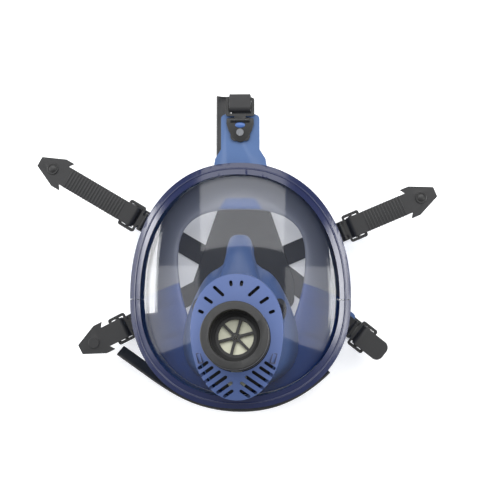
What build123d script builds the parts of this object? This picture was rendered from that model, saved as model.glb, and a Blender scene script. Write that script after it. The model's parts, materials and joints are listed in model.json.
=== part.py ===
from build123d import *
from math import copysign, cos, hypot, pi, radians, sin, sqrt, tan
import os

os.makedirs("parts", exist_ok=True)

# A full-face respirator lying on its back on its harness, face up. Millimetres.
# +Z points out of the face, +Y to the top of the head, z = 0 is the surface it lies on.

# ---- driving dimensions -------------------------------------------------------------------

# Visor and frame: an egg outline, seen from the front, on a barrel that lies along Y
visor_half_width = 92.0
visor_up = 112.0
visor_down = 87.5
visor_mid_y = -12.0
visor_power = 2.2
visor_front = 92.0
visor_across = 126.0
visor_along = 400.0
lens_thickness = 3.0
flange_thickness = 2.5
frame_web = 2.5
frame_lip = 9.5
frame_lip_thickness = 2.5
frame_back_lip = 2.5
frame_gap = 0.1
frame_split_gap = 0.6
ear_width = 4.5
ear_length = 16.0
ear_height = 9.0
ear_overlap = 1.5
screw_radius = 1.0
screw_head_radius = 1.9
screw_head = 2.4

# Facepiece and its face seal
wall_inset = 4.5
wall_thickness = 3.0
rear_front = 47.0
rear_across = 100.0
rear_along = 400.0
rear_clearance = 2.4
seal_front = 56.0
seal_across = 100.0
seal_thickness = 2.2
opening_top = 64.0
opening_top_half = 20.0
opening_corner_x = 54.0
opening_corner_y = 47.0
opening_low_half = 44.0
opening_low_y = 0.0
opening_chin_half = 34.0
opening_chin_y = -70.0

# Front cover, valve housing and the port in the lens
cover_mid_y = -35.0
cover_half_width = 37.0
cover_above_speech = 4.3
cover_below_exhale = 7.9
cover_power = 2.1
cover_rise = 20.0
cover_across = 75.0
cover_along = 150.0
cover_wall = 2.2
housing_inset = 5.0
port_inset = 8.0
housing_wall = 2.5
housing_depth = 14.0
housing_rise = 5.0
housing_face_thickness = 2.5
clamp_ring_width = 5.0
clamp_ring_height = 4.0
fit_gap = 0.1
cover_gap = 0.4
sound_slot_width = 2.6
air_slot_width = 2.7
air_slot_turn = 36.0
# Each slot on the right half: its middle and its length, and for a sound slot its turn
sound_slots = [
    (4.2, 2.6, 4.6, 80.0),
    (14.0, -3.6, 11.5, 41.0),
    (22.2, -10.8, 8.5, 33.0),
    (28.2, -20.0, 5.0, 22.0),
]
air_slots = [
    (26.6, -62.8, 10.5),
    (23.8, -67.6, 13.5),
    (19.4, -72.0, 17.0),
    (14.6, -76.4, 18.0),
    (9.6, -80.6, 16.0),
    (6.6, -85.4, 10.0),
]

# Filter connector, with a round thread bore
connector_y = -37.0
connector_tilt = 8.0
connector_bore = 20.25
connector_rim_width = 6.75
connector_wall = 2.25
chamber_step = 0.75
chamber_depth = 10.5
thread_length = 18.0
connector_rise = 39.0
connector_floor = 2.5
connector_rim_height = 7.0
connector_collar = 19.0
seat_land = 5.5
gasket_thickness = 2.0
gasket_width = 3.0
seat_thickness = 3.0
spoke_width = 2.2
spoke_count = 6
spoke_start = 15.0
hub_radius = 3.6
valve_stem_radius = 1.5
stem_clearance = 0.05
valve_overlap = 2.0
valve_disc_thickness = 1.0
valve_gap = 0.3
valve_lift = 1.6

# Speech diaphragm, above the connector, and exhalation valve, below it
speech_gap = 2.0
speech_radius = 9.5
speech_ring_width = 2.0
diaphragm_thickness = 0.4
exhale_gap = 1.8
exhale_radius = 8.5
exhale_seat_wall = 2.0
exhale_seat_height = 3.0
exhale_disc_thickness = 1.0
exhale_lift = 1.2

# Inner mask over nose and mouth, with a check valve in each cheek
inner_rear_z = 58.0
inner_half_width = 40.0
inner_up = 78.0
inner_down = 44.0
inner_wall = 2.0
check_height = 72.0
check_y = -20.0
check_x = 31.0
check_turn = 55.0
check_radius = 7.0
check_flange = 9.5
check_length = 6.0

# Straps and buckles
strap_width = 17.5
strap_thickness = 1.8
side_pin_height = 34.0
top_pin_height = 56.0
tab_thickness = 4.0
tab_side_width = 22.0
tab_top_width = 32.0
tab_corner = 4.0
tab_flare_half = 23.0
tab_flare_end = 24.0
pin_radius = 1.1
pin_clearance = 0.05
knuckle_radius = 2.2
knuckle_half = 4.7
lug_thickness = 3.0
lug_gap = 0.3
plate_thickness = 2.4
rail_width = 2.5
frame_height = 3.0
roller_radius = 2.0
roller_offset = 10.5
roller_gap = 0.3
run_gap = 0.5
outer_bar_offset = 16.0
outer_bar_width = 2.5
strap_side_play = 0.75
roller_play = 0.2
buckle_corner = 2.0
buckle_web = 2.0
tip_length = 24.0
tip_width = 26.0
tip_button_radius = 4.6
pin_reach = 3.2
rivet_radius = 2.0
rivet_head = 3.0
roller_eye = 1.6
journal_radius = 1.0
top_tab_overhang = 5.0
top_plate_length = 14.0
side_plate_length = 6.4
top_tail_side = 14.8
top_tail_turn = 55.0
top_tail_end = -33.0

# Head pad and neck strap
pad_thickness = 3.0
neck_band_width = 13.0
neck_band_thickness = 2.4
neck_band_height = 24.0
neck_band_tilt = 32.0
# The band's route, as shares of the visor's half width and of its reach below the widest line
neck_route = [
    (-1.141, -0.514), (-0.826, -0.749), (-0.457, -0.971), (-0.043, -1.057),
    (0.326, -1.000), (0.565, -0.874), (0.783, -0.686),
]

tall = 200.0
outline_steps = 32

# ---- sizes that follow from these ---------------------------------------------------------

cover_front = visor_front + cover_rise
housing_face = visor_front + housing_rise
connector_front = visor_front + connector_rise
connector_radius = connector_bore + connector_rim_width
connector_waist_radius = connector_bore + connector_wall
chamber_radius = connector_bore - chamber_step
connector_length = thread_length + gasket_thickness + seat_thickness + chamber_depth + connector_floor
gasket_inner = chamber_radius - gasket_width
passage_radius = chamber_radius - seat_land
valve_disc_radius = passage_radius + valve_overlap
housing_bore_y = connector_y - (connector_front - housing_face) * tan(radians(connector_tilt))
speech_y = housing_bore_y + connector_waist_radius + speech_gap + speech_ring_width + speech_radius
exhale_y = housing_bore_y - connector_waist_radius - exhale_gap - exhale_radius
cover_up = speech_y + speech_radius + speech_ring_width + cover_above_speech - cover_mid_y
cover_down = cover_mid_y - (exhale_y - exhale_radius - cover_below_exhale)


# ---- shared shapes ------------------------------------------------------------------------

def egg(mid_y, half_width, up, down, power, inset=0.0):
    """Face inside an egg outline: a rounded oval that is longer above its widest line than below it."""
    points = []
    for step in range(outline_steps):
        angle = 2 * pi * step / outline_steps
        across = copysign(abs(cos(angle)) ** (2 / power), cos(angle))
        along = copysign(abs(sin(angle)) ** (2 / power), sin(angle))
        reach = up if along > 0 else down
        points.append((across * (half_width - inset), mid_y + along * (reach - inset)))
    return Face(Wire([Edge.make_spline([Vector(*point) for point in points], periodic=True)]))


def visor_egg(inset):
    return egg(visor_mid_y, visor_half_width, visor_up, visor_down, visor_power, inset)


def cover_egg(inset):
    return egg(cover_mid_y, cover_half_width, cover_up, cover_down, cover_power, inset)


def column(face, low=0.0, high=tall):
    """Straight prism on a face, from one height to another."""
    return Pos(0, 0, low) * extrude(face, amount=high - low)


def barrel(front, across, along, mid_y):
    """Solid barrel lying along Y, with its crest at height front and its two radii given."""
    reach = min(150.0, 0.7 * along)
    drop = along - sqrt(along ** 2 - reach ** 2)
    axis_z = front - across
    low, high = mid_y - reach, mid_y + reach
    arc = ThreePointArc((0, low, front - drop), (0, mid_y, front), (0, high, front - drop))
    sides = Polyline((0, high, front - drop), (0, high, axis_z), (0, low, axis_z), (0, low, front - drop))
    return revolve(make_face(arc + sides), Axis((0, 0, axis_z), (0, 1, 0)), 360)


def visor_barrel(offset):
    """Barrel on the visor's surface, moved out by offset."""
    return barrel(visor_front + offset, visor_across + offset, visor_along + offset, visor_mid_y)


def rear_barrel(front, across):
    return barrel(front, across, rear_along, visor_mid_y)


def block(low, high):
    """Box between two corners."""
    size = [high[axis] - low[axis] for axis in range(3)]
    middle = [(high[axis] + low[axis]) / 2 for axis in range(3)]
    return Pos(*middle) * Box(*size)


def disc(radius, low, high, x=0.0, y=0.0):
    """Upright cylinder between two heights."""
    return Pos(x, y, (low + high) / 2) * Cylinder(radius, high - low)


def tube(outer, inner, low, high, x=0.0, y=0.0):
    return disc(outer, low, high, x, y) - disc(inner, low - 1, high + 1, x, y)


def cross_rod(radius, half_length, x, z):
    """Cylinder that lies along Y, centred on the XZ plane."""
    return Pos(x, 0, z) * Rot(90, 0, 0) * Cylinder(radius, 2 * half_length)


nodes = {}


def keep(name, shape):
    """Name a finished piece as a node of the assembly."""
    nodes[name] = shape
    return shape


# ---- facepiece, seal, lens and frame ------------------------------------------------------

def build_facepiece():
    """Rubber body: a flange behind the lens, a side wall back to the face, and five strap tabs."""
    flange = (column(visor_egg(frame_web + frame_gap)) - column(visor_egg(frame_lip), -1, tall + 1)) & (
        visor_barrel(-lens_thickness) - visor_barrel(-lens_thickness - flange_thickness))
    wall = column(visor_egg(wall_inset), rear_clearance) - column(
        visor_egg(wall_inset + wall_thickness), 0, tall + 1)
    wall = (wall & visor_barrel(-lens_thickness)) - rear_barrel(rear_front, rear_across)
    body = flange + wall
    inner_face = column(visor_egg(wall_inset + wall_thickness / 2), -1, tall + 1)
    for station in stations:
        width = station["tab_width"]
        top = -plate_thickness
        low_corner = (-station["tab_reach"], -width / 2, top - tab_thickness)
        tab = block(low_corner, (station["tab_end"], width / 2, top))
        tab = fillet(tab.edges().filter_by(Axis.Z), tab_corner)
        if station["name"] == "top":
            low, high = -station["tab_reach"], -tab_flare_end
            bend = high - tab_flare_end / 3
            flare = [
                (low, -tab_flare_half),
                (low, tab_flare_half),
                (bend, tab_flare_half - 2),
                (high, width / 2),
                (high, -width / 2),
                (bend, 2 - tab_flare_half),
            ]
            tab = tab + column(make_face(Polyline(*flare, close=True)), top - tab_thickness, top)
        body = body + (place(station, tab) - inner_face)
    for station in stations:
        body = body - place(station, disc(rivet_radius, -tall, pin_reach, rivet_offset(station)))
    return body


def build_face_seal():
    """Soft lip that turns in from the wall, with one opening for the face."""
    inside = column(visor_egg(wall_inset + wall_thickness))
    lip = inside & rear_barrel(seal_front, seal_across)
    lip = lip - rear_barrel(seal_front - seal_thickness, seal_across - seal_thickness)
    half = [
        (opening_top_half, opening_top),
        (opening_corner_x, opening_corner_y),
        (opening_low_half, opening_low_y),
        (opening_chin_half, opening_chin_y),
    ]
    outline = half + [(-x, y) for x, y in reversed(half)]
    opening = fillet(make_face(Polyline(*outline, close=True)).vertices(), 9.0)
    low_plane = block((-tall, -tall, -tall), (tall, tall, rear_clearance))
    return lip - column(opening, -1) - low_plane


def build_lens():
    lens = column(visor_egg(frame_web + frame_gap)) & (visor_barrel(0) - visor_barrel(-lens_thickness))
    return lens - column(cover_egg(port_inset - fit_gap))


def build_frame():
    """Clamping frame: front lip, outer web and back lip, split into two halves joined at the sides."""
    depth = lens_thickness + flange_thickness
    ring = (column(visor_egg(0)) - column(visor_egg(frame_lip), -1, tall + 1)) & (
        visor_barrel(frame_lip_thickness) - visor_barrel(-depth - frame_back_lip))
    ring = ring - (column(visor_egg(frame_web)) & (visor_barrel(0) - visor_barrel(-depth)))
    ring = ring - (column(visor_egg(wall_inset - frame_gap)) & visor_barrel(-depth))
    ears = [frame_ear(side) for side in (-1, 1)]
    ring = ring + ears[0] + ears[1]
    half_gap = frame_split_gap / 2
    upper = ring & block((-tall, visor_mid_y + half_gap, 0), (tall, tall, tall))
    lower = ring & block((-tall, -tall, 0), (tall, visor_mid_y - half_gap, tall))
    for side in (-1, 1):
        hole = ear_rod(screw_radius + fit_gap, ear_length + 2, side)
        pocket = ear_rod(screw_head_radius + cover_gap, 2 * ear_length, side) - ear_rod(
            ear_length, ear_length, side)
        upper = upper - hole - pocket
        lower = lower - hole - pocket
    return upper, lower


def ear_centre(side):
    """Middle of a frame ear: under the back lip, on the line where the two halves meet."""
    drop = visor_across - sqrt(visor_across ** 2 - visor_half_width ** 2)
    low_edge = visor_front - drop - lens_thickness - flange_thickness - frame_back_lip
    return side * (visor_half_width - ear_width / 2), low_edge - ear_height / 2 + ear_overlap


def frame_ear(side):
    x, z = ear_centre(side)
    ear = Pos(x, visor_mid_y, z) * Box(ear_width, ear_length, ear_height)
    return ear - column(visor_egg(wall_inset - frame_gap), 0, tall)


def ear_rod(radius, length, side, y=visor_mid_y):
    """Cylinder along Y through the middle of an ear."""
    x, z = ear_centre(side)
    return Pos(x, y, z) * Rot(90, 0, 0) * Cylinder(radius, length)


def build_frame_fasteners():
    """Two clamp screws, each with a nut, that draw the frame halves together."""
    screws, nuts = [], []
    reach = (ear_length + screw_head) / 2
    for side in (-1, 1):
        head = ear_rod(screw_head_radius, screw_head, side, visor_mid_y + reach)
        screws.append(ear_rod(screw_radius, ear_length + 2 * screw_head, side) + head)
        x, z = ear_centre(side)
        nut = extrude(RegularPolygon(screw_head_radius, 6), amount=screw_head / 2, both=True)
        nut = nut - Cylinder(screw_radius, 3 * screw_head)
        nuts.append(Pos(x, visor_mid_y - reach, z) * Rot(90, 0, 0) * nut)
    return Compound(children=screws), Compound(children=nuts)


# ---- buckle stations ----------------------------------------------------------------------

def station(name, side, share, stand, heading, tail, pad_stop, tab_reach):
    """One strap's place: its buckle pin, the way its free end points, and its lengths.

    The pin stands outside the visor's outline by stand, at a share of the outline's height
    above or below its widest line, and the strap ends pad_stop short of the mask's origin.
    """
    top = name == "top"
    half = visor_half_width * (1 - abs(share) ** visor_power) ** (1 / visor_power)
    x = side * (half + stand)
    y = visor_mid_y + share * (visor_up if share > 0 else visor_down) + (stand if top else 0)
    return {"name": name, "x": x, "y": y, "z": top_pin_height if top else side_pin_height,
            "heading": heading, "tail": tail, "pad_reach": hypot(x, y) - pad_stop, "tab_reach": tab_reach,
            "tab_width": tab_top_width if top else tab_side_width,
            "tab_end": top_tab_overhang if top else -pin_reach,
            "plate_length": top_plate_length if top else side_plate_length}


stations = [
    station("top", 0, 1.0, 37.0, 90.0, 0.0, 57.0, 45.0),
    station("upper_left", -1, 0.578, 5.7, 149.5, 102.0, 25.0, 24.0),
    station("upper_right", 1, 0.509, 3.6, 23.0, 84.0, 19.0, 24.0),
    station("lower_left", -1, -0.24, 2.3, 207.0, 50.0, 22.0, 18.0),
    station("lower_right", 1, -0.295, 4.3, -38.0, 34.0, 17.0, 18.0),
]


def place(station, shape):
    """Move a shape from a buckle's own axes, x outward and z up, to the mask's axes."""
    return Pos(station["x"], station["y"], station["z"]) * Rot(0, 0, station["heading"]) * shape


def rivet_offset(station):
    return -pin_reach - station["plate_length"] / 2


def outside_wall(shape):
    """Keep only what lies outside the facepiece's side wall."""
    return shape - column(visor_egg(wall_inset), -1)


def build_link_plate(station):
    """Plate riveted to the tab, with two lugs that hold the buckle's pin."""
    half = knuckle_half + lug_gap + lug_thickness
    length = station["plate_length"]
    plate = block((-length - pin_reach, -half, -plate_thickness), (-pin_reach, half, 0))
    plate = fillet(plate.edges().filter_by(Axis.Z).group_by(Axis.X)[0], length / 4)
    for side in (-1, 1):
        middle = side * (knuckle_half + lug_gap + lug_thickness / 2)
        lug = Pos(0, middle, 0) * Rot(90, 0, 0) * Cylinder(knuckle_radius, lug_thickness)
        arm = block((-pin_reach - 0.5, middle - lug_thickness / 2, -plate_thickness),
                    (0, middle + lug_thickness / 2, 0))
        plate = plate + lug + arm
    plate = plate - cross_rod(pin_radius, half + 1, 0, 0)
    plate = plate - disc(rivet_radius, -5, 5, rivet_offset(station))
    return outside_wall(place(station, plate))


def build_rivet(station):
    """Rivet through the link plate and the tab, with a head on each side."""
    low = -plate_thickness - tab_thickness
    x = rivet_offset(station)
    heads = disc(rivet_head, 0, 1.0, x) + disc(rivet_head, low - 1.0, low, x)
    return outside_wall(place(station, heads + disc(rivet_radius, low, 0, x)))


def build_buckle_frame():
    """Frame that swings on the pin: knuckle, two rails, an outer bar and eyes for the roller."""
    inner = strap_width / 2 + strap_side_play
    outer = inner + rail_width
    half = frame_height / 2
    start = knuckle_radius + 1.0
    frame = block((start, -outer, -half), (outer_bar_offset + outer_bar_width, outer, half))
    window = block((start + buckle_web, -inner, -5), (outer_bar_offset, inner, 5))
    frame = fillet(frame.edges().filter_by(Axis.Z), buckle_corner) - window
    knuckle = cross_rod(knuckle_radius, knuckle_half, 0, 0)
    web = block((0, -knuckle_half, -half), (start + 0.5, knuckle_half, half))
    frame = frame + knuckle + web - cross_rod(pin_radius + pin_clearance, outer, 0, 0)
    return frame - cross_rod(journal_radius + pin_clearance, inner + roller_eye, roller_offset, 0)


def build_roller():
    """Strap roller with a thinner journal at each end."""
    inner = strap_width / 2 + strap_side_play
    body = cross_rod(roller_radius, inner - roller_play, roller_offset, 0)
    return body + cross_rod(journal_radius, inner + roller_eye - roller_play, roller_offset, 0)


def strap_wrap():
    """The strap's turn round the inner side of the roller, ending under it."""
    inside = roller_radius + roller_gap
    ring = cross_rod(inside + strap_thickness, strap_width / 2, roller_offset, 0) - cross_rod(
        inside, strap_width, roller_offset, 0)
    return ring & block((-5, -strap_width, -10), (roller_offset, strap_width, 10))


def build_tail(station):
    """Free end of a strap, from the roller outward, with an arrow tip and a button on it."""
    low = roller_radius + roller_gap
    high = low + strap_thickness
    half = strap_width / 2
    end = station["tail"]
    strip = block((roller_offset, -half, low), (end - tip_length + 1, half, high))
    neck = end - tip_length
    side = [(neck, half), (neck - 3, tip_width / 2), (neck + 5, tip_width / 2), (end, tip_width / 6)]
    head = [(x, -y) for x, y in side] + side[::-1]
    tip = column(make_face(Polyline(*head, close=True)), low, high)
    button = disc(tip_button_radius, high, high + 1.0, end - tip_length / 2 - 1)
    return strap_wrap() + strip + tip + button


def build_short_tail(reach):
    """Free end with a plain round end, for the lower right strap."""
    low = roller_radius + roller_gap
    high = low + strap_thickness
    half = strap_width / 2
    strip = block((roller_offset, -half, low), (reach, half, high))
    strip = fillet(strip.edges().filter_by(Axis.Z).group_by(Axis.X)[-1], 6.0)
    return strap_wrap() + strip


def build_top_tail():
    """Top strap's free end: over the buckle, folded down behind, and hanging edge-on beside the tab."""
    low = roller_radius + roller_gap
    high = low + strap_thickness
    half = strap_width / 2
    fold = outer_bar_offset + outer_bar_width + 0.8 + strap_thickness
    over = block((roller_offset, -half, low), (fold, half, high))
    down = block((fold - strap_thickness, -half, -18), (fold, half, high))
    hang = Pos((fold + top_tail_end) / 2, top_tail_side, -16) * Rot(top_tail_turn, 0, 0) * Box(
        fold - top_tail_end, strap_width, strap_thickness)
    bridge = block((fold - strap_thickness, half - 2, -19), (fold, top_tail_side + 2, -13))
    return strap_wrap() + over + down + hang + bridge


def build_run(station):
    """The strap from under the roller, out and back beneath the buckle, then flat to the head pad."""
    start = -(roller_radius + roller_gap + strap_thickness / 2)
    floor = strap_thickness / 2 - station["z"]
    turn = outer_bar_offset + 1.0
    foot = 8.0 if station["name"] != "top" else -20.0
    route = FilletPolyline((roller_offset + run_gap, start), (turn, start - 0.6), (turn, start - 10),
                           (foot, floor), (-station["pad_reach"], floor), radius=4.0)
    ribbon = Plane.XZ * trace(route, strap_thickness)
    return extrude(ribbon, amount=strap_width / 2, both=True)


# ---- valve housing, connector and valves --------------------------------------------------

def tilt(shape):
    """Move a shape from the connector's own axes, z outward from its front face, to the mask's axes."""
    return Pos(0, connector_y, connector_front) * Rot(-connector_tilt, 0, 0) * shape


def build_housing():
    """Plug through the lens's port, bored for the connector, the diaphragm and the exhalation valve."""
    face = column(cover_egg(housing_inset), housing_face - housing_face_thickness, housing_face)
    low = housing_face - housing_depth
    skirt = column(cover_egg(port_inset), low, housing_face) - column(
        cover_egg(port_inset + housing_wall), low - 1, housing_face - housing_face_thickness)
    flange = column(cover_egg(housing_inset), low, housing_face) - column(
        cover_egg(port_inset), low - 1, tall) - visor_barrel(fit_gap)
    housing = face + skirt + flange
    housing = housing - tilt(disc(connector_waist_radius + fit_gap, -2 * connector_length, 5))
    housing = housing - disc(speech_radius, 0, tall, 0, speech_y)
    return housing - disc(exhale_radius, 0, tall, 0, exhale_y)


def build_clamp_ring():
    """Ring behind the lens that holds the housing in the port."""
    outer = cover_egg(port_inset - clamp_ring_width)
    inner = cover_egg(port_inset - fit_gap)
    ring = column(outer) - column(inner, -1, tall + 1)
    return ring & (visor_barrel(-lens_thickness) - visor_barrel(-lens_thickness - clamp_ring_height))


def build_connector():
    """Filter connector: a thick rim, a waist through the housing, the thread's bore and the passage."""
    rim = disc(connector_radius, -connector_rim_height, 0)
    rim = fillet(rim.edges().filter_by(GeomType.CIRCLE), 1.2)
    body = rim + disc(connector_waist_radius, -connector_length, -connector_rim_height)
    collar = disc(connector_radius, -connector_collar - 3, -connector_collar)
    body = body + collar - disc(connector_bore, -thread_length, 1)
    body = body - disc(chamber_radius, -connector_length + connector_floor, 1)
    return tilt(body - disc(valve_disc_radius, -connector_length - 1, 1))


def seat_level():
    """Height of the inhalation valve seat's back face, in the connector's own axes."""
    return -thread_length - gasket_thickness - seat_thickness


def build_gasket():
    back = -thread_length - gasket_thickness
    return tilt(tube(chamber_radius, gasket_inner, back, -thread_length))


def build_inhale_seat():
    """Ring with six spokes and a hub that guides the valve's stem."""
    low, high = seat_level(), seat_level() + seat_thickness
    seat = tube(chamber_radius, passage_radius, low, high)
    for index in range(spoke_count):
        spoke = block((0, -spoke_width / 2, low), (passage_radius + 1, spoke_width / 2, high))
        seat = seat + Rot(0, 0, spoke_start + index * 360 / spoke_count) * spoke
    seat = seat + disc(hub_radius, low, high)
    return tilt(seat - disc(valve_stem_radius + stem_clearance, low - 1, high + 1))


def build_inhale_disc():
    """Thin flap behind the spokes, on a stem that slides in the hub."""
    high = seat_level() - valve_gap
    flap = disc(valve_disc_radius, high - valve_disc_thickness, high)
    stem = disc(valve_stem_radius, high - 0.5, seat_level() + seat_thickness + valve_lift)
    return tilt(flap + stem)


def build_speech_parts():
    """Thin speaking diaphragm on the housing's face, and the ring that holds it."""
    outer = speech_radius + speech_ring_width
    diaphragm = disc(outer, housing_face, housing_face + diaphragm_thickness, 0, speech_y)
    low = housing_face + diaphragm_thickness
    ring = tube(outer, speech_radius, low, low + 2.0, 0, speech_y)
    return diaphragm, ring


def build_exhale_parts():
    """Exhalation valve: a raised seat with a cross and a hub, and the disc that lifts off it."""
    outer = exhale_radius
    low = housing_face - housing_face_thickness
    high = housing_face + exhale_seat_height - 1.5
    seat = tube(outer, outer - exhale_seat_wall, low, high, 0, exhale_y)
    for turn in (0, 90):
        arm = Rot(0, 0, turn) * block((1 - outer, -0.8, low), (outer - 1, 0.8, high - 1))
        seat = seat + Pos(0, exhale_y, 0) * arm
    seat = seat + disc(2.6, low, high - 1, 0, exhale_y)
    seat = seat - disc(valve_stem_radius + stem_clearance, low - 1, high + 1, 0, exhale_y)
    base = high + valve_gap
    flap = disc(outer - 0.5, base, base + exhale_disc_thickness, 0, exhale_y)
    stem = disc(valve_stem_radius, low - exhale_lift, base + 0.5, 0, exhale_y)
    return seat, flap + stem


def cover_shape(inset, drop):
    """Domed egg-shaped solid of the front cover, moved in by inset and down by drop."""
    dome = barrel(cover_front - drop, cover_across - drop, cover_along - drop, cover_mid_y)
    return column(cover_egg(inset), 60.0, tall) & dome


def build_cover():
    """Front cover: a domed shell with a connector opening, sound slots above and air slots below."""
    shell = cover_shape(0, 0) - cover_shape(cover_wall, cover_wall)
    shell = shell - visor_barrel(fit_gap)
    rim = visor_barrel(frame_lip_thickness + fit_gap)
    shell = shell - (rim - column(visor_egg(frame_lip + fit_gap), -tall, 2 * tall))
    shell = shell - tilt(disc(connector_radius + cover_gap, -2 * connector_length, 5))
    for side in (-1, 1):
        for x, y, length, turn in sound_slots:
            shell = shell - slot(side * x, y, length, sound_slot_width, side * turn)
        for x, y, length in air_slots:
            shell = shell - slot(side * x, y, length, air_slot_width, -side * air_slot_turn)
    return shell


def slot(x, y, length, width, turn):
    """Cutter for a round-ended slot through the cover."""
    cutter = extrude(SlotOverall(length, width), amount=tall)
    return Pos(x, y, housing_face) * Rot(0, 0, turn) * cutter


# ---- inner mask ---------------------------------------------------------------------------

def build_inner_mask():
    """Cup over nose and mouth, lofted from behind the housing to the face."""
    front_z = housing_face - housing_depth
    def cup(inset):
        front = Pos(0, 0, front_z) * cover_egg(port_inset + housing_wall + fit_gap + inset)
        rear = Pos(0, 0, inner_rear_z - 20) * egg(cover_mid_y, inner_half_width + 6, inner_up, inner_down,
                                                 cover_power, inset)
        return loft([front, rear])
    shell = cup(0) - cup(inner_wall)
    shell = shell - rear_barrel(seal_front + 0.4, seal_across + 0.4)
    for side in (-1, 1):
        shell = shell - check_place(side, disc(check_radius + fit_gap, -20, 20))
    return shell


def check_place(side, shape):
    """Move a shape to a cheek's check valve, whose axis leans out to that side."""
    return Pos(side * check_x, check_y, check_height) * Rot(0, side * check_turn, 0) * shape


def build_check_seat(side):
    """Check valve seat: a short tube through the cheek, with a flange and a cross bar."""
    half = check_length / 2
    seat = tube(check_radius, check_radius - 1.5, -half, half)
    bar = block((1 - check_radius, -0.9, -half), (check_radius - 1, 0.9, half - 1.5))
    flange = tube(check_flange, check_radius - 1.5, half - 1, half)
    seat = seat + bar + disc(2.4, -half, half - 1.5) + flange
    return check_place(side, seat - disc(valve_stem_radius + stem_clearance, -half - 1, half + 1))


def build_check_disc(side):
    half = check_length / 2
    flap = disc(check_radius - 0.8, -half - valve_gap - 0.8, -half - valve_gap)
    stem = disc(valve_stem_radius, -half - valve_gap - 0.4, half - 1.0)
    return check_place(side, flap + stem)


# ---- harness ------------------------------------------------------------------------------

def build_head_pad():
    """Flat rubber pad behind the head, where the five straps meet."""
    half = [(20.0, 72.0), (44.0, 2.0), (44.0, -18.0), (20.0, -38.0)]
    outline = half + [(-x, y) for x, y in reversed(half)]
    pad = fillet(make_face(Polyline(*outline, close=True)).vertices(), 10.0)
    return column(pad, 0, pad_thickness)


def build_neck_strap():
    """Band round the chin side, from one lower tab to the other, leaning outward."""
    route = Spline(*[(x * visor_half_width, visor_mid_y + y * visor_down) for x, y in neck_route])
    start = Plane(origin=route @ 0, x_dir=(0, 0, 1), z_dir=route % 0)
    section = start * Rot(0, 0, neck_band_tilt) * Rectangle(neck_band_width, neck_band_thickness)
    return Pos(0, 0, neck_band_height) * sweep(section, path=route)


# ---- assembly -----------------------------------------------------------------------------

pad = keep("head_pad", build_head_pad())
keep("facepiece", build_facepiece())
keep("face_seal", build_face_seal())
keep("visor_lens", build_lens())
frame_upper, frame_lower = build_frame()
keep("visor_frame_upper", frame_upper)
keep("visor_frame_lower", frame_lower)
frame_screws, frame_nuts = build_frame_fasteners()
keep("frame_screws", frame_screws)
keep("frame_nuts", frame_nuts)

keep("valve_housing", build_housing())
keep("housing_clamp_ring", build_clamp_ring())
keep("connector", build_connector())
keep("thread_gasket", build_gasket())
keep("inhalation_valve_seat", build_inhale_seat())
keep("inhalation_valve_disc", build_inhale_disc())
diaphragm, diaphragm_ring = build_speech_parts()
keep("speech_diaphragm", diaphragm)
keep("speech_retaining_ring", diaphragm_ring)
exhale_seat, exhale_disc = build_exhale_parts()
keep("exhalation_valve_seat", exhale_seat)
keep("exhalation_valve_disc", exhale_disc)
keep("front_cover", build_cover())

keep("inner_mask", build_inner_mask())
for label, side in (("left", -1), ("right", 1)):
    keep("check_valve_seat_" + label, build_check_seat(side))
    keep("check_valve_disc_" + label, build_check_disc(side))

pin = cross_rod(pin_radius, knuckle_half + lug_gap + lug_thickness, 0, 0)
keep("buckle_link_plates", Compound(children=[build_link_plate(at) for at in stations]))
keep("buckle_pins", Compound(children=[place(at, pin) for at in stations]))
keep("tab_rivets", Compound(children=[build_rivet(at) for at in stations]))
buckle_frame = build_buckle_frame()
roller = build_roller()
for at in stations:
    keep(at["name"] + "_buckle", place(at, buckle_frame))
    keep(at["name"] + "_roller", place(at, roller))
    if at["name"] == "top":
        tail = build_top_tail()
    elif at["name"] == "lower_right":
        tail = build_short_tail(at["tail"])
    else:
        tail = build_tail(at)
    keep(at["name"] + "_strap_end", place(at, tail))
    keep(at["name"] + "_strap", place(at, build_run(at)) - pad)
keep("neck_strap", build_neck_strap())

for name, shape in nodes.items():
    export_step(shape, "parts/" + name + ".step")
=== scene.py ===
import json
from math import asin, cos, exp, pi, radians, sin

import bmesh
import bpy
from mathutils import Matrix, Vector


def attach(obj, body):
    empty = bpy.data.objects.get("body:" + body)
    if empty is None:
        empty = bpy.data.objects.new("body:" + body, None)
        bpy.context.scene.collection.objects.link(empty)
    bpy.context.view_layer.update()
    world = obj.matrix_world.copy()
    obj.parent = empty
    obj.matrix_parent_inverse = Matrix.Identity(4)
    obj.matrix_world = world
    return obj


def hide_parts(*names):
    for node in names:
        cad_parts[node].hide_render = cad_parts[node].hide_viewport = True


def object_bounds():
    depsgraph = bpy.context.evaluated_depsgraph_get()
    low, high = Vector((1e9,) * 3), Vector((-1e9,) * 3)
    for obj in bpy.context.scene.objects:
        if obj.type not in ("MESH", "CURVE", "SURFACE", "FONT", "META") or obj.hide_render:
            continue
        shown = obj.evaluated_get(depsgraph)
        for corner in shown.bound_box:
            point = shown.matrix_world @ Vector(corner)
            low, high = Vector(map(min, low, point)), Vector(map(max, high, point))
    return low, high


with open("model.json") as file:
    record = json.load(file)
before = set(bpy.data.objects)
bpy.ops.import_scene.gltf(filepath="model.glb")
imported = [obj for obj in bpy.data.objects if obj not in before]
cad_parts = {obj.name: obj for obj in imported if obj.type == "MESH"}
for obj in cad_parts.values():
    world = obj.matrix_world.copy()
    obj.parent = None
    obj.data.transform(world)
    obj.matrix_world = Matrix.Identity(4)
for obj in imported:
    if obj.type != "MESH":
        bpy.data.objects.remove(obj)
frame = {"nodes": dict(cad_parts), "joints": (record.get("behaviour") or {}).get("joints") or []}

cad_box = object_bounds()
nodes = frame["nodes"]
MM = 0.001
GRAIN_DEPTH = 0.2 * MM
WELD = 1e-6

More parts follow.
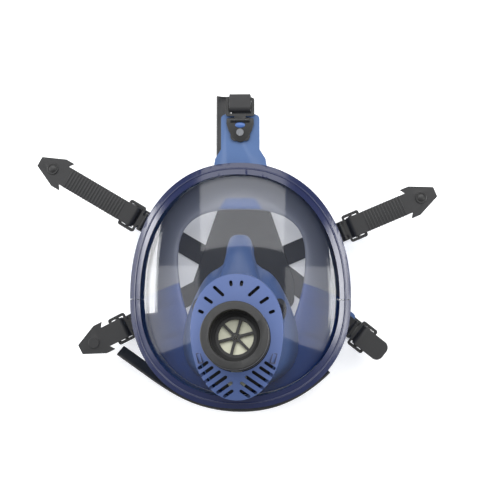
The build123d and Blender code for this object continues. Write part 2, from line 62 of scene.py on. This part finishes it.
# Sizes of the CAD that the new pieces sit on
MID_Y = -12 * MM
VISOR_HALF_WIDTH, VISOR_UP, VISOR_DOWN = 92, 112, 87.5
VISOR_FRONT, VISOR_ACROSS, VISOR_POWER = 92, 126, 2.2
COVER_FRONT, COVER_ACROSS = 110.4 * MM, 75 * MM
CONNECTOR_FRONT = (0.0, -37 * MM, 131 * MM)
CONNECTOR_LEAN = 8.0
STRAP_TOP = 4.1 * MM


# ---- finishes: shader maths as expressions ---------------------------------------------------

class Socket:
    """A node socket that takes part in ordinary arithmetic by adding Math nodes."""

    def __init__(self, finish, socket):
        self.finish = finish
        self.socket = socket

    def _math(self, operation, first, second):
        return self.finish.node("ShaderNodeMath", {"operation": operation}, {0: first, 1: second})[0]

    def __add__(self, other):
        return self._math("ADD", self, other)

    def __radd__(self, other):
        return self._math("ADD", other, self)

    def __sub__(self, other):
        return self._math("SUBTRACT", self, other)

    def __rsub__(self, other):
        return self._math("SUBTRACT", other, self)

    def __mul__(self, other):
        return self._math("MULTIPLY", self, other)

    def __rmul__(self, other):
        return self._math("MULTIPLY", other, self)


class Finish:
    """One procedural material, built around a Principled shader."""

    def __init__(self, name, rough=0.5, metal=0.0, **fixed):
        self.material = bpy.data.materials.new(name)
        self.material.use_nodes = True
        self.tree = self.material.node_tree
        self.shader = self.tree.nodes["Principled BSDF"]
        self.shader.inputs["Roughness"].default_value = rough
        self.shader.inputs["Metallic"].default_value = metal
        for socket, value in fixed.items():
            self.shader.inputs[socket.replace("_", " ")].default_value = value
        self.place = self.node("ShaderNodeTexCoord")["Object"]

    def node(self, kind, settings=None, inputs=None):
        """Add a node: its settings first, then its sockets' values or links. Gives its outputs."""
        made = self.tree.nodes.new(kind)
        for name, value in (settings or {}).items():
            setattr(made, name, value)
        for name, value in (inputs or {}).items():
            target = made.inputs[name]
            if isinstance(value, Socket):
                self.tree.links.new(value.socket, target)
            else:
                target.default_value = value
        return Outputs(self, made)

    def axis(self, index):
        return self.node("ShaderNodeSeparateXYZ", None, {0: self.place})[index]

    def noise(self, scale, detail=3.0, stretch=None):
        where = self.place
        if stretch:
            where = self.node("ShaderNodeMapping", None, {"Vector": where, "Scale": stretch})[0]
        inputs = {"Vector": where, "Scale": scale, "Detail": detail}
        return self.node("ShaderNodeTexNoise", None, inputs)[0]

    def soft_step(self, value, low, high):
        return self.node("ShaderNodeMapRange", {"interpolation_type": "SMOOTHSTEP"},
                         {"Value": value, "From Min": low, "From Max": high})[0]

    def mix(self, amount, first, second):
        made = self.node("ShaderNodeMix", {"data_type": "RGBA"}, {0: amount, 6: first, 7: second})
        return Socket(self, made.made.outputs[2])

    def set(self, name, value):
        if isinstance(value, Socket):
            self.tree.links.new(value.socket, self.shader.inputs[name])
        else:
            self.shader.inputs[name].default_value = value
        return self

    def bump(self, height, strength, distance):
        inputs = {"Height": height, "Strength": strength, "Distance": distance}
        return self.set("Normal", self.node("ShaderNodeBump", None, inputs)[0])


class Outputs:
    """A node's outputs, by index or by name, as sockets that do arithmetic."""

    def __init__(self, finish, made):
        self.finish = finish
        self.made = made

    def __getitem__(self, key):
        return Socket(self.finish, self.made.outputs[key])


def srgb(red, green, blue):
    """Linear colour from screen values of 0 to 255."""
    def linear(level):
        level = level / 255
        return level / 12.92 if level <= 0.04045 else ((level + 0.055) / 1.055) ** 2.4
    return (linear(red), linear(green), linear(blue), 1.0)


def shade(colour, factor):
    return tuple(min(1.0, channel * factor) for channel in colour[:3]) + (1.0,)


def moulded(name, colour, rough, grain=0.25, grain_size=1800.0, mottling=0.12, **fixed):
    """Moulded rubber or plastic: fine grain, slow colour drift, and polish that comes and goes."""
    finish = Finish(name, rough, **fixed)
    drift = finish.noise(22.0, 4.0)
    finish.set("Base Color", finish.mix(drift, shade(colour, 1 - mottling), shade(colour, 1 + mottling)))
    finish.set("Roughness", rough + (finish.noise(70.0, 5.0) - 0.5) * 0.16)
    return finish.bump(finish.noise(grain_size, 2.0), grain, GRAIN_DEPTH)


def make_finishes():
    """Every finish on the mask, by a short name."""
    made = {}
    made["facepiece"] = moulded("facepiece rubber", srgb(62, 92, 138), 0.46, grain=0.2, Coat_Weight=0.1)
    made["cover"] = moulded("cover plastic", srgb(64, 84, 132), 0.52, grain=0.35, grain_size=2600.0,
                             mottling=0.06)
    made["inner"] = moulded("inner mask silicone", srgb(70, 98, 150), 0.42, grain=0.12, Coat_Weight=0.15)
    made["frame"] = moulded("frame gloss plastic", srgb(18, 27, 64), 0.2, grain=0.03, mottling=0.1)
    made["black"] = moulded("black moulded plastic", srgb(24, 24, 24), 0.45, grain=0.35, grain_size=2400.0)
    made["gasket"] = moulded("gasket rubber", srgb(22, 22, 22), 0.7, grain=0.3)
    made["strap"] = moulded("strap rubber", srgb(30, 30, 31), 0.5, grain=0.4, grain_size=1500.0)
    made["pad"] = moulded("head pad rubber", srgb(40, 41, 42), 0.6, grain=0.4, grain_size=1500.0)
    made["ivory"] = moulded("valve disc silicone", srgb(214, 214, 190), 0.4, grain=0.1, mottling=0.05)
    made["film"] = moulded("diaphragm film", srgb(170, 170, 165), 0.3, grain=0.1)
    made["stud"] = moulded("blue stud", srgb(60, 92, 150), 0.35, grain=0.15)
    made["steel"] = make_steel()
    made["seal"] = make_seal()
    made["lens"] = make_lens_finish()
    return made


def make_steel():
    """Turned steel with fine scratches across it."""
    finish = Finish("bright steel", 0.3, 1.0)
    scratch = finish.noise(900.0, 2.0, stretch=(1.0, 0.08, 1.0))
    finish.set("Base Color", finish.mix(scratch, srgb(96, 98, 102), srgb(140, 142, 146)))
    finish.set("Roughness", 0.2 + scratch * 0.25)
    return finish.bump(scratch, 0.15, 0.0001)


def make_seal():
    """Soft sealing lip in the facepiece's blue over the cheeks, with a painted reflection of the lens as
    pale grey-blue round the eyes.
    """
    finish = Finish("seal silicone with painted reflection", 0.35, Coat_Weight=0.25)
    across = finish.axis(0)
    up = finish.axis(1)
    # Below this curve the seal shows its own blue; above it the pale grey-blue is a painted reflection of
    # the lens, not the silicone's colour.
    edge = up + across * across * 3.0
    below_lens_reflection = 1 - finish.soft_step(edge, 0.0085, 0.0105)
    painted_lens_reflection = finish.mix(finish.noise(24.0), srgb(138, 142, 156), srgb(160, 164, 178))
    blue = finish.mix(finish.noise(30.0), srgb(34, 74, 152), srgb(46, 88, 168))
    spread = across * across + (up - 0.062) * 0.018
    brow = finish.soft_step(up, 0.0625, 0.0640) * (1 - finish.soft_step(spread, 0.00026, 0.00042))
    brow = brow * (1 - finish.soft_step(up, 0.0705, 0.0745))
    light = srgb(92, 124, 188)
    finish.set("Base Color", finish.mix(brow, finish.mix(below_lens_reflection, painted_lens_reflection, blue), light))
    finish.set("Roughness", 0.34 + finish.noise(60.0) * 0.14)
    return finish.bump(finish.noise(1400.0, 2.0), 0.12, GRAIN_DEPTH)


def make_lens_finish():
    """Clear polycarbonate: see-through, with a clean reflection that shows more at a low angle."""
    finish = Finish("clear lens", 0.04, Coat_Weight=1.0)
    finish.set("Base Color", finish.mix(finish.noise(9.0), srgb(26, 32, 50), srgb(34, 42, 62)))
    finish.set("Roughness", 0.03 + finish.noise(40.0) * 0.04)
    finish.set("IOR", 2.2)
    facing = finish.node("ShaderNodeLayerWeight", None, {"Blend": 0.35})["Facing"]
    clear = finish.node("ShaderNodeBsdfTransparent", None, {"Color": (0.97, 0.975, 0.985, 1.0)})[0]
    body = Socket(finish, finish.shader.outputs[0])
    mixed = finish.node("ShaderNodeMixShader", None, {0: 0.12 + facing * 0.4, 1: clear, 2: body})[0]
    output = finish.tree.nodes["Material Output"]
    finish.tree.links.new(mixed.socket, output.inputs["Surface"])
    return finish


finishes = make_finishes()


# ---- making pieces ---------------------------------------------------------------------------

def add_piece(name, bm, finish, body, replaces=(), smooth=35.0):
    """Put a finished mesh in the scene: its finish, and the body that it rides on."""
    mesh = bpy.data.meshes.new(name)
    bm.to_mesh(mesh)
    bm.free()
    mesh.materials.append(finishes[finish].material)
    piece = bpy.data.objects.new(name, mesh)
    bpy.context.scene.collection.objects.link(piece)
    mesh.shade_smooth()
    mesh.set_sharp_from_angle(angle=radians(smooth))
    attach(piece, body)
    if replaces:
        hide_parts(*replaces)
    return piece


def bevelled(piece, width):
    """Round the piece's edges with a live bevel."""
    modifier = piece.modifiers.new("edges", "BEVEL")
    modifier.width = width
    modifier.segments = 2
    modifier.limit_method = "ANGLE"
    modifier.angle_limit = radians(38.0)
    modifier.harden_normals = True


def thickened(piece, thickness, offset=-1.0):
    """Give a skin its wall, then smooth it once."""
    wall = piece.modifiers.new("thickness", "SOLIDIFY")
    wall.thickness = thickness
    wall.offset = offset
    smooth = piece.modifiers.new("smooth", "SUBSURF")
    smooth.levels = smooth.render_levels = 1


def merged_copy(node):
    """Welded copy of a CAD node's mesh, with its flat faces joined up again."""
    bm = bmesh.new()
    bm.from_mesh(nodes[node].data)
    bmesh.ops.remove_doubles(bm, verts=bm.verts, dist=WELD)
    bmesh.ops.dissolve_limit(bm, angle_limit=radians(0.6), verts=bm.verts, edges=bm.edges)
    return bm


def refine(node, finish, body, width):
    """Stand a welded, edge-rounded copy in for a CAD node."""
    piece = add_piece(node + "_finished", merged_copy(node), finish, body, replaces=(node,))
    bevelled(piece, width)


def carry(node, finish):
    """Keep a CAD node as it is and give it its finish."""
    for slot in nodes[node].material_slots:
        slot.material = finishes[finish].material


def box_into(bm, low, high, turn=None):
    """Add a box between two corners to a mesh, then turn it with a matrix."""
    low, high = Vector(low), Vector(high)
    middle = (low + high) / 2
    size = high - low
    matrix = Matrix.Translation(middle) @ Matrix.Diagonal((*size, 1.0))
    made = bmesh.ops.create_cube(bm, size=1.0, matrix=matrix)
    if turn:
        bmesh.ops.transform(bm, matrix=turn, verts=made["verts"])


def strap_axes(name):
    """A buckle's own axes, from its hinge: x along the strap's free end, z up."""
    joint = next(item for item in frame["joints"] if item["name"] == name + "_buckle_swing")
    axis = Vector(joint["axis"])
    outward = Vector((-axis.y, axis.x, 0.0))
    across = Vector((-outward.y, outward.x, 0.0))
    matrix = Matrix((outward, across, Vector((0.0, 0.0, 1.0)))).transposed().to_4x4()
    return Matrix.Translation(Vector(joint["pos_m"])) @ matrix


# ---- face seal and inner mask ----------------------------------------------------------------

def barrel_height(x, y, front, across, along=400 * MM):
    """Height of a barrel's surface that lies along Y, at a place seen from the front."""
    drop = along - (along ** 2 - (y - MID_Y) ** 2) ** 0.5
    radius = across - drop
    return front - across + max(radius ** 2 - x ** 2, 0.0) ** 0.5


def egg_point(angle, half_width, up, down, mid_y, power):
    """Point on an egg outline: a rounded oval, longer above its widest line than below it."""
    across, along = cos(angle), sin(angle)
    x = abs(across) ** (2 / power) * (1 if across > 0 else -1)
    y = abs(along) ** (2 / power) * (1 if along > 0 else -1)
    return x * half_width, mid_y + y * (up if along > 0 else down)


def goggle_point(angle):
    """Point on the face opening: wide across the eyes, narrowing down to the chin."""
    across, along = cos(angle), sin(angle)
    x = abs(across) ** 0.72 * (1 if across > 0 else -1)
    if along > 0:
        y = 20 * MM + along ** 0.72 * 43.5 * MM
        return x * 54.5 * MM, y
    y = 20 * MM - (-along) ** 0.8 * 91 * MM
    return x * (54.5 - 17 * (-along) ** 1.3) * MM, y


def ring_of(bm, count, point):
    """A closed ring of vertices, made as a circle and moved point by point."""
    made = bmesh.ops.create_circle(bm, segments=count, radius=1.0)["verts"]
    for index, vertex in enumerate(made):
        vertex.co = Vector(point(2 * pi * index / count))
    edges = {edge for vertex in made for edge in vertex.link_edges}
    return list(edges)


def ring_skin(count, points):
    """Skin through one ring for each of the point functions, joined one to the next."""
    bm = bmesh.new()
    rings = [ring_of(bm, count, point) for point in points]
    for first, second in zip(rings, rings[1:]):
        bmesh.ops.bridge_loops(bm, edges=first + second)
    bmesh.ops.recalc_face_normals(bm, faces=bm.faces)
    return bm


def cheek_folds(x, y):
    """Depth of the shallow creases in both cheeks."""
    depth = 0.0
    for side in (-1, 1):
        for fold_x, fold_y, size in ((64, -20, 1.0), (60, -46, 1.3)):
            away = (x * side - fold_x * MM) / (9 * MM)
            along = (y - fold_y * MM + away * 3 * MM) / (2.4 * MM)
            depth += 3.0 * MM * size * exp(-away ** 2 - along ** 2)
    return depth


def build_seal():
    """Soft lip from the side wall in to the face, rolled back round its opening."""
    steps = [0.0, 0.06, 0.14, 0.24, 0.34, 0.44, 0.54, 0.64, 0.74, 0.84, 0.93, 0.98, 1.0, 0.985]
    roll = [0.0, 0.2, 0.5, 0.7, 0.8, 0.9, 0.9, 0.9, 0.8, 0.6, 0.2, -0.6, -1.8, -3.4]

    def ring(share, lift):
        def point(angle):
            outer = egg_point(angle, 84.3 * MM, 104.3 * MM, 79.8 * MM, MID_Y, VISOR_POWER)
            inner = goggle_point(angle)
            x = outer[0] + (inner[0] - outer[0]) * share
            y = outer[1] + (inner[1] - outer[1]) * share
            height = barrel_height(x, y, 55.4 * MM, 99.4 * MM) + lift * MM - cheek_folds(x, y)
            return x, y, max(height, 3.2 * MM)
        return point

    bm = ring_skin(192, [ring(share, lift) for share, lift in zip(steps, roll)])
    piece = add_piece("face_seal_lip", bm, "seal", "mask", replaces=("face_seal",), smooth=60)
    thickened(piece, 1.8 * MM, offset=0.0)


# Right half of the inner mask's rear outline, from the nose bridge down to the chin (mm)
NOSE_HALF = [(0, 42), (5, 41.5), (8.8, 38), (10, 32), (10.4, 26), (12, 20), (17, 15), (24, 11), (30, 5),
             (36, -5), (42, -18), (46.5, -32), (48.5, -48), (46.5, -62), (38, -74), (24, -82), (0, -85)]


def smooth_loop(points, share):
    """Point at a share of the way round a closed smooth curve through points."""
    place = share * len(points)
    index = int(place)
    part = place - index
    a, b, c, d = (points[(index + step) % len(points)] for step in (-1, 0, 1, 2))
    weights = (-part / 2 + part ** 2 - part ** 3 / 2, 1 - 2.5 * part ** 2 + 1.5 * part ** 3,
               part / 2 + 2 * part ** 2 - 1.5 * part ** 3, (part ** 3 - part ** 2) / 2)
    near = list(zip(weights, (a, b, c, d)))
    return tuple(sum(weight * point[axis] for weight, point in near) for axis in (0, 1))


def build_inner_mask():
    """Inner mask: from its neck behind the housing, out over the cheeks and up to the nose."""
    rear = NOSE_HALF + [(-x, y) for x, y in NOSE_HALF[-2:0:-1]]
    levels = [(84.5, 0.0), (82.5, 0.12), (79.5, 0.3), (75, 0.5), (70, 0.68), (65, 0.81), (60, 0.91),
              (56, 0.97), (53.5, 1.0), (52.5, 0.97), (53, 0.9)]

    def ring(height, spread):
        def point(angle):
            neck = egg_point(pi / 2 - angle, 29 * MM, 34 * MM, 45 * MM, -38 * MM, 2.3)
            lip = smooth_loop(rear, angle / (2 * pi))
            x = neck[0] + (lip[0] * MM - neck[0]) * spread
            y = neck[1] + (lip[1] * MM - neck[1]) * spread
            nose_rise = exp(-(x / (9 * MM)) ** 2) * max(0.0, min(1.0, y / (25 * MM))) * 6 * MM
            cheek_fall = (x / (50 * MM)) ** 2 * 7 * MM
            return x, y, height * MM + (nose_rise - cheek_fall) * spread
        return point

    bm = ring_skin(160, [ring(height, spread) for height, spread in levels])
    piece = add_piece("inner_mask_cup", bm, "inner", "mask", replaces=("inner_mask",), smooth=80)
    thickened(piece, 1.6 * MM)


def build_frame_bead():
    """Thin raised bead that runs round the frame's front lip."""
    profile = [(3.7, 2.2), (4.1, 2.9), (4.6, 3.1), (5.1, 2.9), (5.5, 2.2)]

    def ring(inset, rise):
        half, up, down = ((reach - inset) * MM for reach in (VISOR_HALF_WIDTH, VISOR_UP, VISOR_DOWN))

        def point(angle):
            x, y = egg_point(angle, half, up, down, MID_Y, VISOR_POWER)
            return x, y, barrel_height(x, y, (VISOR_FRONT + rise) * MM, (VISOR_ACROSS + rise) * MM)
        return point

    bm = ring_skin(192, [ring(inset, rise) for inset, rise in profile])
    add_piece("visor_frame_bead", bm, "frame", "mask", smooth=60)


def build_stem_cap():
    """Dark cap on the inhalation valve's stem."""
    bm = bmesh.new()
    bmesh.ops.create_cone(bm, cap_ends=True, segments=32, radius1=1.5 * MM, radius2=1.2 * MM,
                          depth=0.5 * MM)
    turn = Matrix.Translation(Vector(CONNECTOR_FRONT)) @ Matrix.Rotation(-radians(CONNECTOR_LEAN), 4, "X")
    bmesh.ops.transform(bm, matrix=turn @ Matrix.Translation((0, 0, -18.2 * MM)), verts=bm.verts)
    add_piece("inhalation_stem_cap", bm, "black", "inhalation_valve")


def build_clip_windows():
    """Small framed clip windows moulded at both sides of the front cover."""
    bm = bmesh.new()
    bars = [(-2.2, -4.2, 2.2, -3.5), (-2.2, 3.5, 2.2, 4.2), (-2.2, -3.6, -1.6, 3.6), (1.6, -3.6, 2.2, 3.6)]
    for side in (-1, 1):
        x, y = side * 29.6 * MM, -57 * MM
        slope = asin(x / COVER_ACROSS)
        z = COVER_FRONT - COVER_ACROSS * (1 - cos(slope))
        lean = Matrix.Rotation(slope, 4, "Y") @ Matrix.Rotation(side * radians(-14), 4, "Z")
        for left, low, right, high in bars:
            box_into(bm, (left * MM, low * MM, -0.8 * MM), (right * MM, high * MM, 0.35 * MM),
                     Matrix.Translation((x, y, z)) @ lean)
    add_piece("cover_clip_windows", bm, "frame", "cover")


# ---- straps and the top tab ------------------------------------------------------------------

STRAPS = ("top", "upper_left", "upper_right", "lower_left", "lower_right")


def build_strap_ribs(name, start, end):
    """Fine cross ribs moulded on a strap's free end, for the buckle to grip."""
    bm = bmesh.new()
    pitch, width, half, rise = 2.7 * MM, 1.3 * MM, 8.9 * MM, 0.5 * MM
    place = strap_axes(name)
    for index in range(int((end - start) / pitch)):
        x = start + index * pitch
        box_into(bm, (x, -half, STRAP_TOP - rise), (x + width, half, STRAP_TOP + rise), place)
    bmesh.ops.bevel(bm, geom=list(bm.edges), offset=0.22 * MM, affect="EDGES", segments=2, profile=0.5,
                    material=-1)
    add_piece(name + "_strap_ribs", bm, "strap", name + "_buckle")


def build_strap_button(name, x):
    """Press button on the arrow tip: a low dome in a ring."""
    bm = bmesh.new()
    profile = [(0.0, 1.7), (1.6, 1.6), (2.9, 1.2), (3.3, 0.9),
               (3.5, 1.3), (4.3, 1.35), (4.7, 1.0), (4.8, 0.0)]
    points = [bm.verts.new((radius * MM, 0.0, height * MM)) for radius, height in profile]
    edges = [bm.edges.new(pair) for pair in zip(points, points[1:])]
    bmesh.ops.spin(bm, geom=points + edges, cent=(0, 0, 0), axis=(0, 0, 1), angle=2 * pi, steps=32,
                   use_merge=True)
    bmesh.ops.remove_doubles(bm, verts=bm.verts, dist=WELD)
    bmesh.ops.recalc_face_normals(bm, faces=bm.faces)
    place = strap_axes(name) @ Matrix.Translation((x, 0, STRAP_TOP))
    bmesh.ops.transform(bm, matrix=place, verts=bm.verts)
    add_piece(name + "_strap_button", bm, "black", name + "_buckle")


def build_top_shield():
    """Black shield riveted on the top tab, and the blue stud on it."""
    place = strap_axes("top")
    bm = bmesh.new()
    half = [(1.5, 11.2), (-3.0, 11.4), (-9.0, 9.6), (-14.0, 6.6), (-17.6, 3.0)]
    outline = half + [(-18.6, 0.0)] + [(x, -y) for x, y in reversed(half)]
    corners = [bm.verts.new((x * MM, y * MM, -2.35 * MM)) for x, y in outline]
    plate = bm.faces.new(corners)
    bmesh.ops.recalc_face_normals(bm, faces=[plate])
    made = bmesh.ops.extrude_face_region(bm, geom=[plate])
    top = [item for item in made["geom"] if isinstance(item, bmesh.types.BMVert)]
    bmesh.ops.translate(bm, verts=top, vec=(0, 0, 2.6 * MM))
    bmesh.ops.recalc_face_normals(bm, faces=bm.faces)
    bmesh.ops.bevel(bm, geom=list(bm.edges), offset=0.5 * MM, affect="EDGES", segments=3, profile=0.5,
                    material=-1)
    bmesh.ops.transform(bm, matrix=place, verts=bm.verts)
    add_piece("top_tab_shield", bm, "black", "mask")
    stud = bmesh.new()
    bmesh.ops.create_uvsphere(stud, u_segments=32, v_segments=16, radius=1.0)
    oval = Matrix.Diagonal((2.3 * MM, 4.2 * MM, 1.2 * MM, 1))
    shape = place @ Matrix.Translation((-4.2 * MM, 0, 0.2 * MM)) @ oval
    bmesh.ops.transform(stud, matrix=shape, verts=stud.verts)
    add_piece("top_tab_stud", stud, "stud", "mask")


# ---- assembly --------------------------------------------------------------------------------

REFINED = [
    ("facepiece", "facepiece", "mask", 0.8), ("visor_frame_upper", "frame", "mask", 0.9),
    ("visor_frame_lower", "frame", "mask", 0.9), ("front_cover", "cover", "cover", 0.5),
    ("connector", "black", "mask", 0.5), ("valve_housing", "black", "mask", 0.4),
    ("housing_clamp_ring", "black", "mask", 0.4), ("inhalation_valve_seat", "black", "mask", 0.25),
    ("head_pad", "pad", "mask", 0.8), ("neck_strap", "strap", "mask", 0.5),
    ("thread_gasket", "gasket", "mask", 0.3), ("buckle_link_plates", "black", "mask", 0.35),
]
CARRIED = [
    ("visor_lens", "lens"), ("inhalation_valve_disc", "ivory"), ("exhalation_valve_disc", "ivory"),
    ("exhalation_valve_seat", "black"), ("speech_diaphragm", "film"), ("speech_retaining_ring", "black"),
    ("check_valve_seat_left", "black"), ("check_valve_seat_right", "black"),
    ("check_valve_disc_left", "ivory"), ("check_valve_disc_right", "ivory"),
    ("frame_screws", "steel"), ("frame_nuts", "steel"), ("buckle_pins", "steel"), ("tab_rivets", "steel"),
]

for node, finish, body, width in REFINED:
    refine(node, finish, body, width * MM)
for node, finish in CARRIED:
    carry(node, finish)
for name in STRAPS:
    refine(name + "_strap", "strap", "mask", 0.35 * MM)
    refine(name + "_strap_end", "strap", name + "_buckle", 0.35 * MM)
    refine(name + "_buckle", "black", name + "_buckle", 0.4 * MM)
    refine(name + "_roller", "black", name + "_roller", 0.2 * MM)
build_seal()
build_inner_mask()
for name, end in (("upper_left", 102), ("upper_right", 84)):
    build_strap_ribs(name, 21 * MM, (end - 26) * MM)
    build_strap_button(name, (end - 13) * MM)
build_top_shield()
build_frame_bead()
build_stem_cap()
build_clip_windows()


# ---- floor, light and camera -----------------------------------------------------------------

def add_floor():
    """White sheet just under the harness."""
    bm = bmesh.new()
    bmesh.ops.create_grid(bm, x_segments=1, y_segments=1, size=3.0)
    bmesh.ops.translate(bm, verts=bm.verts, vec=(0, 0, cad_box[0].z - 0.0002))
    mesh = bpy.data.meshes.new("floor")
    bm.to_mesh(mesh)
    bm.free()
    finish = Finish("floor paper", 0.9)
    finish.set("Base Color", (0.93, 0.93, 0.93, 1.0))
    finish.set("Emission Color", (1.0, 1.0, 1.0, 1.0))
    finish.set("Emission Strength", 0.3)
    mesh.materials.append(finish.material)
    floor = bpy.data.objects.new("floor", mesh)
    bpy.context.scene.collection.objects.link(floor)


def add_light(name, place, aim, size, power):
    light = bpy.data.lights.new(name, "AREA")
    light.shape = "RECTANGLE"
    light.size, light.size_y = size
    light.energy = power
    holder = bpy.data.objects.new(name, light)
    holder.location = place
    holder.rotation_euler = (Vector(aim) - Vector(place)).to_track_quat("-Z", "Y").to_euler()
    bpy.context.scene.collection.objects.link(holder)


def add_camera():
    """Camera above the mask, turned a little to its right."""
    turn = radians(3.0)
    target = Vector((9 * MM, 29 * MM, 70 * MM))
    camera_data = bpy.data.cameras.new("camera")
    camera_data.lens = 96.6
    camera_data.sensor_width = 36.0
    camera = bpy.data.objects.new("camera", camera_data)
    camera.location = target + Vector((sin(turn), 0.0, cos(turn))) * 1.1
    camera.rotation_euler = (0.0, turn, 0.0)
    bpy.context.scene.collection.objects.link(camera)
    bpy.context.scene.camera = camera


add_floor()
add_light("key overhead", (0.0, 0.95, 1.35), (0.0, 0.1, 0.0), (2.2, 1.3), 30.0)
add_light("left fill", (-1.1, -0.1, 0.7), (0.0, 0.0, 0.05), (0.5, 1.2), 4.0)
add_light("left strip", (-1.2, 0.15, 0.26), (0.0, 0.05, 0.05), (0.55, 0.3), 7.0)
add_light("right strip", (1.2, 0.05, 0.24), (0.0, 0.0, 0.05), (0.6, 0.3), 7.0)
add_light("right fill", (1.1, -0.1, 0.7), (0.0, 0.0, 0.05), (0.5, 1.2), 4.0)
world = bpy.data.worlds.new("studio")
bpy.context.scene.world = world
world.use_nodes = True
world.node_tree.nodes["Background"].inputs["Color"].default_value = (0.95, 0.97, 1.0, 1.0)
world.node_tree.nodes["Background"].inputs["Strength"].default_value = 0.55
bpy.context.scene.view_settings.view_transform = "Standard"
add_camera()
